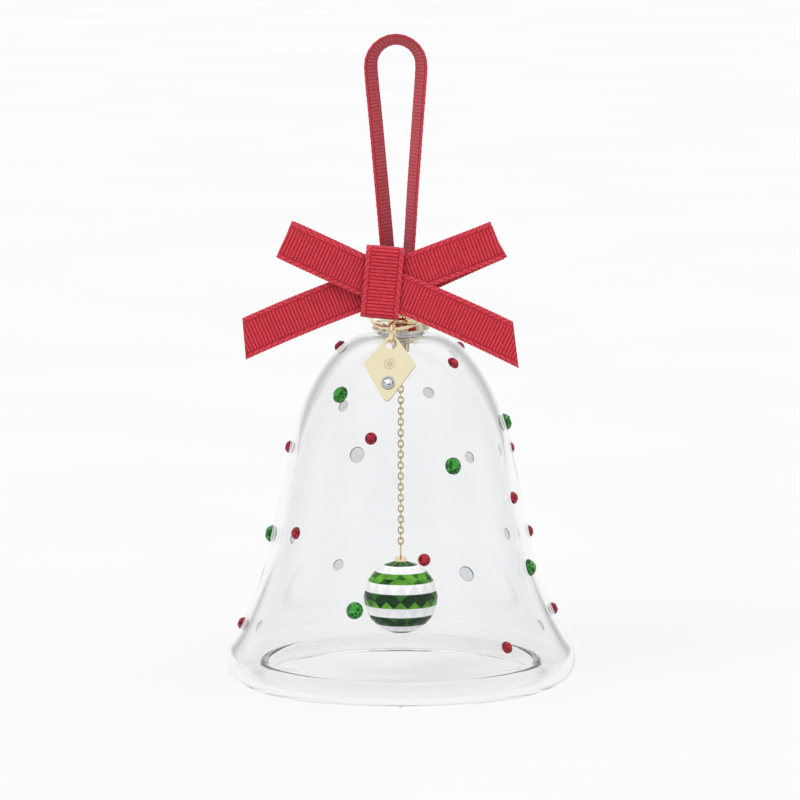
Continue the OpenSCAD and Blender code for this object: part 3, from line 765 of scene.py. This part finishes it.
def foil_shape(d):
    """The thin round of foil behind a stone of diameter d."""
    count, radius = 24, FOIL_RADIUS * d
    points = np.array(ring_points(radius, 0.0, count) + ring_points(radius, -FOIL_THICKNESS, count))
    faces = [tuple(range(count)), tuple(range(2 * count - 1, count - 1, -1))]
    faces += [(i, count + i, count + (i + 1) % count, (i + 1) % count) for i in range(count)]
    return points, faces


def stone_place(points):
    """Where a CAD stone sits: the middle of its base, its outward direction and its diameter."""
    middle = points.mean(axis=0)
    _, _, axes = np.linalg.svd(points - middle)
    outward = axes[2] if np.dot(axes[2][:2], middle[:2]) > 0 else -axes[2]
    heights = (points - middle) @ outward
    base = points[heights < heights.min() + 0.05]
    centre = base.mean(axis=0)
    return centre, outward, 2 * np.linalg.norm(base - centre, axis=1).max()


def stones(node, tones):
    points, faces, slots = [], [], []
    for number, island in enumerate(islands(node)):
        centre, outward, d = stone_place(island)
        facing = Vector(outward).to_track_quat("Z", "Y").to_matrix()
        turn = np.array(facing @ Matrix.Rotation(number * STONE_TURN, 3, "Z"))
        gem, gem_faces = gem_shape(d)
        foil, foil_faces = foil_shape(d)
        for shape, shape_faces in ((gem, gem_faces), (foil, foil_faces)):
            start = sum(len(p) for p in points)
            points.append(shape @ turn.T + centre)
            faces += [tuple(start + i for i in f) for f in shape_faces]
        slots += gem_facet_shading(gem, gem_faces) + [len(tones)] * len(foil_faces)
    piece = add_piece(node + "_cut", np.vstack(points), faces, tones + [FOIL], smooth=False,
                      face_slots=slots)
    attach(piece, "bell")
    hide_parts(node)


def make_stones():
    for tier in ("upper", "middle", "lower"):
        stones("green_crystals_" + tier, GREEN_CRYSTAL)
        stones("red_crystals_" + tier, RED_CRYSTAL)


# ---- Chain ---------------------------------------------------------------------------------------

WIRE = 0.2                    # radius of a link's wire


def oval_wire(width, length, steps=10, sides=10):
    """One closed link in the XZ plane, from its outside width and length."""
    radius = width / 2 - WIRE
    half = length / 2 - width / 2
    line = []
    for middle, first in ((half, 0), (-half, math.pi)):
        for a in np.linspace(first, first + math.pi, steps + 1):
            line.append((radius * math.cos(a), middle + radius * math.sin(a), a))
    points = []
    for x, z, a in line:
        for b in np.arange(sides) * 2 * math.pi / sides:
            out = WIRE * math.cos(b)
            points.append((x + out * math.cos(a), WIRE * math.sin(b), z + out * math.sin(a)))
    n = len(line)
    faces = [(i * sides + j, ((i + 1) % n) * sides + j, ((i + 1) % n) * sides + (j + 1) % sides,
              i * sides + (j + 1) % sides) for i in range(n) for j in range(sides)]
    return np.array(points), faces


def chain_run(node, body):
    """Every link of a CAD run, drawn again as round wire."""
    points, faces = [], []
    for island in islands(node):
        low, high = island.min(axis=0), island.max(axis=0)
        size = high - low
        shape, shape_faces = oval_wire(max(size[0], size[1]), size[2])
        if size[1] > size[0]:
            # Every other link is a quarter turn round from the last
            shape = shape[:, [1, 0, 2]] * [-1, 1, 1]
        start = sum(len(p) for p in points)
        points.append(shape + (low + high) / 2)
        faces += [tuple(start + i for i in f) for f in shape_faces]
    piece = add_piece(node + "_wire", np.vstack(points), faces, [CHAIN_GOLD])
    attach(piece, body)
    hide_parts(node)


def make_chain():
    for node, body in (("chain_top_link", "chain_top"), ("chain_upper_links", "chain_upper"),
                       ("chain_mid_link", "chain_mid"), ("chain_lower_links", "chain_lower"),
                       ("ball_loop", "ball")):
        chain_run(node, body)


# ---- Ball ----------------------------------------------------------------------------------------

BALL_SIDES = 16
BALL_TOP, BALL_BOTTOM = 9, 16     # degrees from the ball's poles to the edges of its small flats
TALL_STRETCH = 2.0            # a green stretch taller than this has a ring of corners halfway

# Heights of the band edges, from the top down. The stretches between them go green, white, green...
BAND_EDGES = (29.9, 28.25, 25.75, 23.3, 19.6, 17.15, 14.65, 13.0)

# How the painted light runs over each row of facets, the downward ones first: 0 is the deepest painted
# shade and 2 the brightest painted highlight
FACET_ROW_SHADING = {0: ((0, 2, 0), (1, 0, 1)), 2: ((2, 1, 2, 2), (2, 2, 1)), 3: ((2, 2, 0, 2), (2, 1, 2)),
              5: ((0, 1, 0, 0, 1), (0,)), 6: ((0, 0, 0, 0, 1), (2,)), 8: ((1, 0, 0, 1), (0,)),
              9: ((0,), (1, 1, 0)), 11: ((0, 1, 0), (0, 0, 1))}


def ball_facet_shading(row, side, number):
    """Which of the three greens a facet shows, as painted light: a painted highlight towards the top,
    painted shade at the bottom, never even.
    """
    pattern = FACET_ROW_SHADING[row][side]
    return pattern[number % len(pattern)]


def crystal_ball():
    """A cut ball: rings of triangular facets, each ring of corners half a facet round from the last, with
    every other stretch between two band edges painted white."""
    low, high = (np.array(v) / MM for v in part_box("crystal_ball"))
    middle, radius = (low + high) / 2, (high - low)[0] / 2
    middle[2] = low[2] + radius
    top = middle[2] + radius * math.cos(math.radians(BALL_TOP))
    bottom = middle[2] - radius * math.cos(math.radians(BALL_BOTTOM))
    edges = [top] + list(BAND_EDGES) + [bottom]
    levels = []
    for k, (a, b) in enumerate(zip(edges, edges[1:])):
        levels.append((a, k % 2 == 1))
        if k % 2 == 0 and a - b > TALL_STRETCH:
            levels.append(((a + b) / 2, False))
    levels.append((bottom, False))
    bm = bmesh.new()
    rows = []
    for k, (z, _) in enumerate(levels):
        r = math.sqrt(radius ** 2 - (z - middle[2]) ** 2)
        start = math.pi / BALL_SIDES * (k % 2)
        rows.append([bm.verts.new((middle[0] + x, middle[1] + y, z))
                     for x, y, _ in ring_points(r, 0, BALL_SIDES, start)])
    slots = []
    for k, (a, b) in enumerate(zip(rows, rows[1:])):
        for i in range(BALL_SIDES):
            j = (i + 1) % BALL_SIDES
            down = (a[i], b[i], a[j]) if k % 2 == 0 else (a[i], b[j], a[j])
            up = (a[j], b[i], b[j]) if k % 2 == 0 else (a[i], b[i], b[j])
            for side, corners in enumerate((down, up)):
                bm.faces.new(corners)
                # Greens take the painted light of their row; whites alternate with their painted-shade
                # copy
                white = len(BALL_GREEN_SHADES) + (side + k // 2) % len(BALL_WHITE_SHADES)
                slots.append(white if levels[k][1] else ball_facet_shading(k, side, i))
    for row in (rows[0], rows[-1]):
        bm.faces.new(row)
        slots.append(1)
    bm.verts.index_update()
    points = [v.co[:] for v in bm.verts]
    faces = [tuple(v.index for v in f.verts) for f in bm.faces]
    bm.free()
    piece = add_piece("cut_crystal_ball", points, faces, BALL_GREEN_SHADES + BALL_WHITE_SHADES, smooth=False,
                      face_slots=slots)
    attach(piece, "ball")
    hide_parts("crystal_ball")


# ---- CAD nodes that stay -------------------------------------------------------------------------

def dress(node, mat):
    """A CAD node keeps its shape and gets a material with detail."""
    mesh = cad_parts[node].data
    mesh.materials.clear()
    mesh.materials.append(mat)


def dress_nodes():
    for node in ("cap_collar", "hanging_bail", "clapper_eye", "bail_jump_ring", "tag_jump_ring",
                 "ball_cap", "ball_pin"):
        dress(node, GOLD)
    dress("cap_drum", PALE_GOLD)
    dress("clamp_ferrule", PALE_GOLD)
    dress("tag_bezel", STEEL)
    dress("tag_plate", TAG_GOLD)
    dress("threaded_post", STEEL)
    dress("upper_gasket", RUBBER)
    dress("lower_gasket", RUBBER)


# ---- Tag -----------------------------------------------------------------------------------------

TAG_STONE = 2.95              # the stone's diameter
TAG_STONE_DEPTH = 0.85        # from the CAD stone's highest point to the cut stone's base
TAG_TOP_TO_HOLE = 3.0
MOTIF_DOWN = 5.3              # from the tag's hole to the middle of its engraved snowflake
MOTIF_RADIUS = 1.45
MOTIF_LINE = 0.11
MOTIF_LIFT = 0.03
ARM_SHARE = 0.72              # how far the snowflake's arms reach towards its ring
ARM_START = 0.08              # how far from its middle they start
FORK_SHARE = 0.55             # how far up an arm its branches start
BRANCH_SHARE = 0.30           # how long they are, against the arm


def tag_frame():
    """The tag's own axes: the middle of its top edge on the front face, up the tag, across it, and out
    of its face."""
    plate = islands("tag_plate")[0]
    middle = plate.mean(axis=0)
    _, _, axes = np.linalg.svd(plate - middle)
    outward = axes[2] if axes[2][1] < 0 else -axes[2]
    up = np.array([0, 0, 1.0]) - outward * outward[2]
    up = up / np.linalg.norm(up)
    heights = (plate - middle) @ up
    top = middle + up * heights.max() + outward * ((plate - middle) @ outward).max()
    across = np.cross(up, outward)
    top = top - across * ((top - middle) @ across)
    return top, up, across, outward


def tag_stone():
    island = islands("tag_crystal")[0]
    middle = island.mean(axis=0)
    _, _, _, outward = tag_frame()
    shape, faces = gem_shape(TAG_STONE)
    turn = np.array(Vector(outward).to_track_quat("Z", "Y").to_matrix())
    base = middle + outward * (((island - middle) @ outward).max() - TAG_STONE_DEPTH)
    piece = add_piece("tag_cut_stone", shape @ turn.T + base, faces, CLEAR_CRYSTAL, smooth=False,
                      face_slots=gem_facet_shading(shape, faces))
    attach(piece, "tag")
    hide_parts("tag_crystal")


def flat_bar(start, end, width):
    """A thin raised line between two points of a plane, as four corners."""
    start, end = np.array(start, dtype=float), np.array(end, dtype=float)
    along = (end - start) / np.linalg.norm(end - start)
    side = np.array([-along[1], along[0]]) * width / 2
    return [start - side, end - side, end + side, start + side]


def snowflake_outlines():
    """A plain six-armed snowflake, each arm with one pair of branches."""
    bars = []
    reach = MOTIF_RADIUS * ARM_SHARE
    for i in range(6):
        arm = polar(30 + 60 * i)
        fork = FORK_SHARE * reach * arm
        bars.append(flat_bar(ARM_START * arm, reach * arm, MOTIF_LINE))
        for turn in (-60, 60):
            branch = polar(30 + 60 * i + turn)
            bars.append(flat_bar(fork, fork + BRANCH_SHARE * reach * branch, MOTIF_LINE))
    return bars


def tag_motif():
    """The engraved snowflake and the ring round it, as lines that stand just clear of the tag's face."""
    top, up, across, outward = tag_frame()
    centre = top - up * (MOTIF_DOWN + TAG_TOP_TO_HOLE)
    points, faces = [], []
    for bar in snowflake_outlines():
        start = len(points)
        for lift in (MOTIF_LIFT, -MOTIF_LIFT):
            points += [centre + across * x + up * z + outward * lift for x, z in bar]
        faces += [tuple(start + i for i in f) for f in
                  ((0, 1, 2, 3), (7, 6, 5, 4), (0, 4, 5, 1), (1, 5, 6, 2), (2, 6, 7, 3), (3, 7, 4, 0))]
    start, count = len(points), 48
    for radius, lift in ((MOTIF_RADIUS - MOTIF_LINE, MOTIF_LIFT), (MOTIF_RADIUS, MOTIF_LIFT),
                         (MOTIF_RADIUS, -MOTIF_LIFT), (MOTIF_RADIUS - MOTIF_LINE, -MOTIF_LIFT)):
        for i in range(count):
            x, z = radius * polar(360 * i / count)
            points.append(centre + across * x + up * z + outward * lift)
    faces += [(start + k * count + i, start + k * count + (i + 1) % count,
               start + (k + 1) % 4 * count + (i + 1) % count, start + (k + 1) % 4 * count + i)
              for k in range(4) for i in range(count)]
    piece = add_piece("tag_snowflake_motif", points, faces, [MOTIF_GOLD], smooth=False)
    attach(piece, "tag")


# ---- Stage ---------------------------------------------------------------------------------------

FLOOR_REACH = 60.0            # metres
WHITE = (1.0, 1.0, 1.0)
CARD = (0.56, 0.56, 0.57)


def make_floor():
    mat, nodes, links, bsdf = new_material("floor_white")
    cloud = noise_node(nodes, links, 6.0)
    links.new(ramp_node(nodes, links, cloud, [(0.3, (0.68, 0.68, 0.68)), (0.7, (0.70, 0.70, 0.70))]),
              bsdf.inputs["Base Color"])
    bsdf.inputs["Roughness"].default_value = 0.9
    bsdf.inputs["Specular IOR Level"].default_value = 0.0
    corners = np.array([(-1, -1, 0), (1, -1, 0), (1, 1, 0), (-1, 1, 0)]) * FLOOR_REACH / MM
    add_piece("floor", corners, [(0, 1, 2, 3)], [mat])


def make_world():
    """Plain white to the eye. What the glass bends and the metal mirrors is a white tent with a bright
    ceiling, and grey card round the middle of each of its four walls, which draws the glass's edges."""
    world = bpy.data.worlds.new("studio")
    bpy.context.scene.world = world
    world.use_nodes = True
    nodes, links = world.node_tree.nodes, world.node_tree.links
    background = nodes["Background"]
    split = nodes.new("ShaderNodeSeparateXYZ")
    links.new(nodes.new("ShaderNodeTexCoord").outputs["Generated"], split.inputs[0])
    sideways = math_node(nodes, links, "ABSOLUTE", split.outputs[0])
    lengthways = math_node(nodes, links, "ABSOLUTE", split.outputs[1])
    squareness = math_node(nodes, links, "MAXIMUM", sideways, lengthways)
    cards = ramp_node(nodes, links, squareness, [
        (0.0, WHITE), (0.66, WHITE), (0.86, CARD), (0.94, CARD), (0.985, WHITE), (1.0, WHITE)])
    ceiling = ramp_node(nodes, links, split.outputs[2], [(0.5, WHITE), (0.8, (1.2, 1.2, 1.2))])
    tent = mix_colour(nodes, links, 1.0, cards, ceiling, "MULTIPLY")
    seen = nodes.new("ShaderNodeLightPath").outputs["Is Camera Ray"]
    links.new(mix_colour(nodes, links, seen, tent, WHITE), background.inputs["Color"])
    background.inputs["Strength"].default_value = 1.0


def soft_sun(name, place, spread, strength):
    """Even soft light from one side, kept out of what metal mirrors and glass bends."""
    data = bpy.data.lights.new(name, "SUN")
    data.angle = math.radians(spread)
    data.energy = strength
    lamp = bpy.data.objects.new(name, data)
    lamp.rotation_euler = Vector(place).to_track_quat("Z", "Y").to_euler()
    lamp.visible_glossy = False
    lamp.visible_transmission = False
    bpy.context.collection.objects.link(lamp)


def make_lights():
    soft_sun("key_light", (-0.6, -0.8, 0.7), 40, 1.1)
    soft_sun("fill_light", (0.8, -0.5, 0.4), 60, 0.5)
    soft_sun("top_light", (0.0, 0.1, 1.0), 70, 0.5)


def clear_glass_light():
    """Light crosses many walls of the rolled rim, so it is followed further than usual."""
    cycles = bpy.context.scene.cycles
    cycles.max_bounces = 40
    cycles.glossy_bounces = 24
    cycles.transmission_bounces = 40


bpy.context.scene.view_settings.view_transform = "Standard"
clear_glass_light()
make_ribbons()
glass_bell()
make_stones()
make_chain()
crystal_ball()
dress_nodes()
tag_stone()
tag_motif()
make_floor()
make_world()
make_lights()

bpy.context.view_layer.update()
